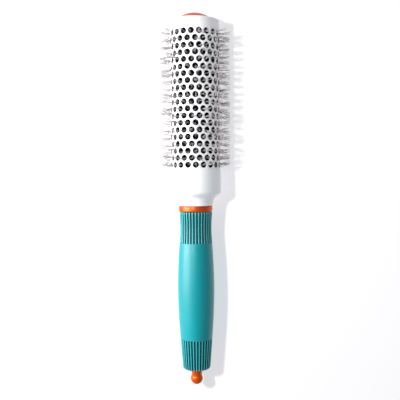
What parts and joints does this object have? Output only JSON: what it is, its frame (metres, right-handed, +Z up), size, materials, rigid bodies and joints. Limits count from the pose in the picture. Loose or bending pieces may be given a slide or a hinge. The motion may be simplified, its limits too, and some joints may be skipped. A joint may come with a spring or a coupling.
{
  "type": "round barrel brush",
  "caption": "Round styling brush with a vented white metal barrel, nylon bristles, a teal ribbed grip and a pull-out sectioning pick with a ball head.",
  "frame": {"origin": "centre of the bounding box at the level of the lowest bristle tips, with the brush lying level", "axes": "+Y along the brush's axis towards the domed barrel end, +Z up"},
  "size_m": [0.0504, 0.2616, 0.0504],
  "materials": {
    "ceramic_white": "satin ceramic coat",
    "carrier_black": "matte",
    "bristle_nylon": "translucent nylon",
    "white_plastic": "gloss",
    "orange_plastic": "gloss",
    "steel": "brushed",
    "orange_metal": "anodised, satin",
    "core_plastic": "matte",
    "teal_rubber": "soft touch",
    "black_rubber": "matte"
  },
  "bodies": {
    "brush": {"barrel_tube": "ceramic_white", "bristle_carrier": "carrier_black", "bristle_strip_01": "bristle_nylon", "bristle_strip_02": "bristle_nylon", "bristle_strip_03": "bristle_nylon", "bristle_strip_04": "bristle_nylon", "bristle_strip_05": "bristle_nylon", "bristle_strip_06": "bristle_nylon", "bristle_strip_07": "bristle_nylon", "bristle_strip_08": "bristle_nylon", "bristle_strip_09": "bristle_nylon", "bristle_strip_10": "bristle_nylon", "bristle_strip_11": "bristle_nylon", "bristle_strip_12": "bristle_nylon", "bristle_strip_13": "bristle_nylon", "bristle_strip_14": "bristle_nylon", "bristle_strip_15": "bristle_nylon", "bristle_strip_16": "bristle_nylon", "bristle_strip_17": "bristle_nylon", "bristle_strip_18": "bristle_nylon", "bristle_strip_19": "bristle_nylon", "bristle_strip_20": "bristle_nylon", "end_cap": "white_plastic", "end_button": "orange_plastic", "collar": "white_plastic", "tie_rod": "steel", "cap_washer": "steel", "cap_nut": "steel", "anchor_nut": "steel", "accent_ring": "orange_metal", "handle_core": "core_plastic", "handle_grip": "teal_rubber", "pick_sleeve": "core_plastic"},
    "pick": {"pick_knob": "orange_plastic", "pick_pin": "steel", "pick_o_ring": "black_rubber"}
  },
  "joints": [
    {"name": "pick_slide", "type": "slide", "parent": "brush", "child": "pick", "axis": [0, -1, 0], "range_m": [0, 0.1]}
  ]
}
